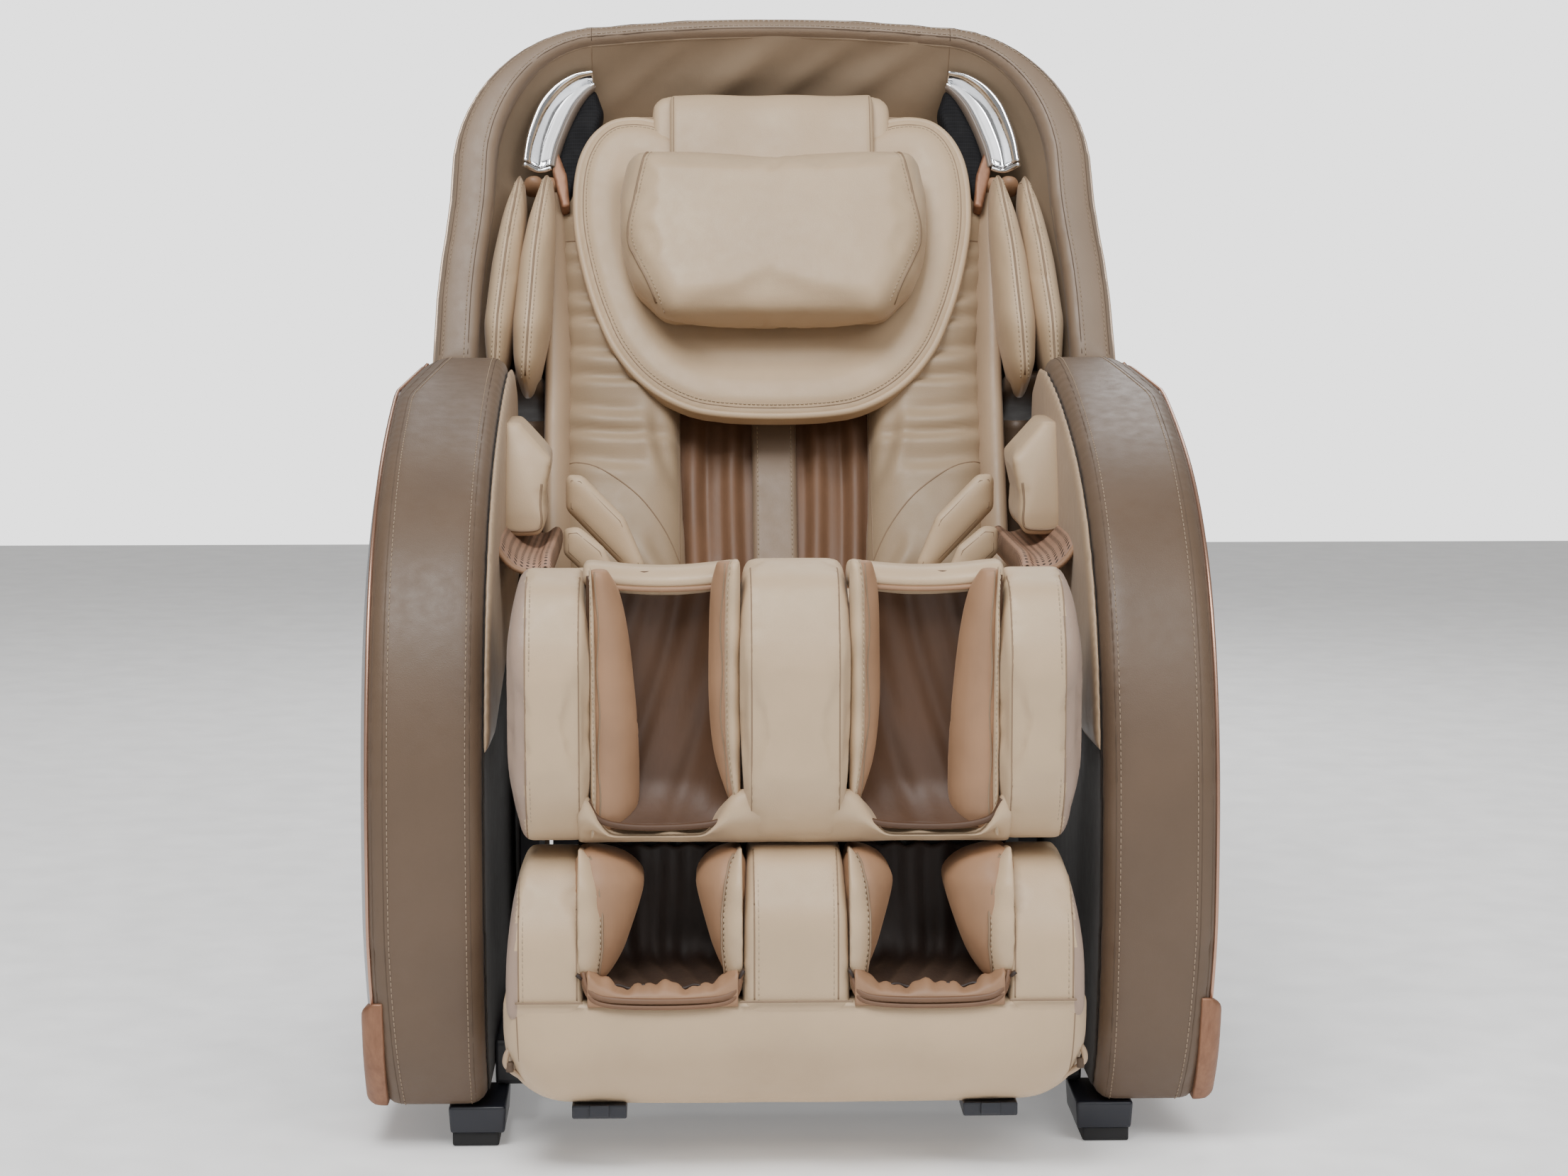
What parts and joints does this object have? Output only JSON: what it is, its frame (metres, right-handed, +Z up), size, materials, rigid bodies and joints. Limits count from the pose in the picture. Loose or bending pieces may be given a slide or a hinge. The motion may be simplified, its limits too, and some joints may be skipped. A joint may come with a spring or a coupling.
{
  "type": "massage chair",
  "caption": "Full-body massage chair with hooded reclining back, tilting seat, padded arms, lifting calf rest with wells and a sliding footrest.",
  "frame": {"origin": "on the floor, under the centre of the upright chair's bounding box", "axes": "+X to the left arm as the sitter sees it, -Y out of the footrest towards the viewer, +Z up"},
  "size_m": [0.915, 1.25, 1.2459],
  "materials": {
    "leather_taupe": "smooth taupe synthetic leather",
    "leather_beige": "smooth beige synthetic leather",
    "fabric_brown": "brown satin fabric",
    "plastic_silver": "silver grey satin plastic",
    "plastic_black": "black plastic",
    "rubber_black": "black rubber",
    "steel_painted": "black powder coat",
    "steel_bright": "ground steel",
    "chrome": "mirror chrome"
  },
  "bodies": {
    "base": {"base_rail_L": "steel_painted", "base_rail_R": "steel_painted", "front_foot_L": "plastic_black", "front_foot_R": "plastic_black", "hinge_post_L": "steel_painted", "hinge_post_R": "steel_painted", "arm_body_L": "leather_taupe", "arm_body_R": "leather_taupe", "arm_shell_L": "plastic_silver", "arm_shell_R": "plastic_silver", "forearm_ledge_L": "fabric_brown", "forearm_ledge_R": "fabric_brown", "hand_airbag_L": "leather_beige", "hand_airbag_R": "leather_beige", "base_cross_front": "steel_painted", "base_cross_rear": "steel_painted", "base_cover": "plastic_black", "pivot_shaft": "steel_bright"},
    "wheel_left": {"rear_wheel_L": "rubber_black"},
    "wheel_right": {"rear_wheel_R": "rubber_black"},
    "seat": {"seat_bar_L": "steel_painted", "seat_bar_R": "steel_painted", "hip_airbag_L": "leather_beige", "hip_airbag_R": "leather_beige", "seat_pan": "steel_painted", "seat_pad": "leather_beige", "leg_shaft": "steel_bright"},
    "back": {"back_rail_L": "steel_painted", "back_rail_R": "steel_painted", "window_trim_L": "chrome", "window_trim_R": "chrome", "speaker_L": "plastic_black", "speaker_R": "plastic_black", "shoulder_airbag_L": "leather_beige", "shoulder_airbag_R": "leather_beige", "back_bolster_L": "leather_beige", "back_bolster_R": "leather_beige", "back_cross_top": "steel_painted", "rear_shell": "plastic_silver", "lower_shell": "plastic_silver", "hood_rim": "leather_taupe", "hood_liner": "leather_beige", "back_channel": "fabric_brown", "head_pad": "leather_beige"},
    "pillow": {"pillow": "leather_beige"},
    "carriage": {"massage_carriage": "steel_painted"},
    "kneader": {"kneading_rollers": "rubber_black"},
    "calf_rest": {"calf_block_L": "leather_beige", "calf_block_R": "leather_beige", "calf_well_L": "fabric_brown", "calf_well_R": "fabric_brown", "calf_centre": "leather_beige", "calf_frame": "steel_painted"},
    "footrest": {"foot_block_L": "leather_beige", "foot_block_R": "leather_beige", "glide_pad_L": "plastic_black", "glide_pad_R": "plastic_black", "foot_centre": "leather_beige", "foot_apron": "leather_beige", "foot_frame": "steel_painted"}
  },
  "joints": [
    {"name": "wheel_left_spin", "type": "hinge", "parent": "base", "child": "wheel_left", "pos_m": [0.2585, 0.3572, 0.035], "axis": [1, 0, 0], "continuous": true},
    {"name": "wheel_right_spin", "type": "hinge", "parent": "base", "child": "wheel_right", "pos_m": [-0.2585, 0.3572, 0.035], "axis": [1, 0, 0], "continuous": true},
    {"name": "seat_tilt", "type": "hinge", "parent": "base", "child": "seat", "pos_m": [0, 0.0522, 0.45], "axis": [-1, 0, 0], "range_deg": [0, 16]},
    {"name": "back_recline", "type": "hinge", "parent": "seat", "child": "back", "pos_m": [0, 0.0522, 0.45], "axis": [-1, 0, 0], "range_deg": [0, 48]},
    {"name": "pillow_flip", "type": "hinge", "parent": "back", "child": "pillow", "pos_m": [0, 0.33025, 1.14109], "axis": [-1, 0, 0], "range_deg": [0, 90]},
    {"name": "carriage_travel", "type": "slide", "parent": "back", "child": "carriage", "axis": [0, 0.454, 0.891], "range_m": [0, 0.42]},
    {"name": "kneader_spin", "type": "hinge", "parent": "carriage", "child": "kneader", "pos_m": [0, 0.23244, 0.62752], "axis": [1, 0, 0], "continuous": true},
    {"name": "leg_lift", "type": "hinge", "parent": "seat", "child": "calf_rest", "pos_m": [0, -0.4578, 0.55], "axis": [-1, 0, 0], "range_deg": [0, 88]},
    {"name": "foot_extend", "type": "slide", "parent": "calf_rest", "child": "footrest", "axis": [0, 0, -1], "range_m": [0, 0.12]}
  ]
}
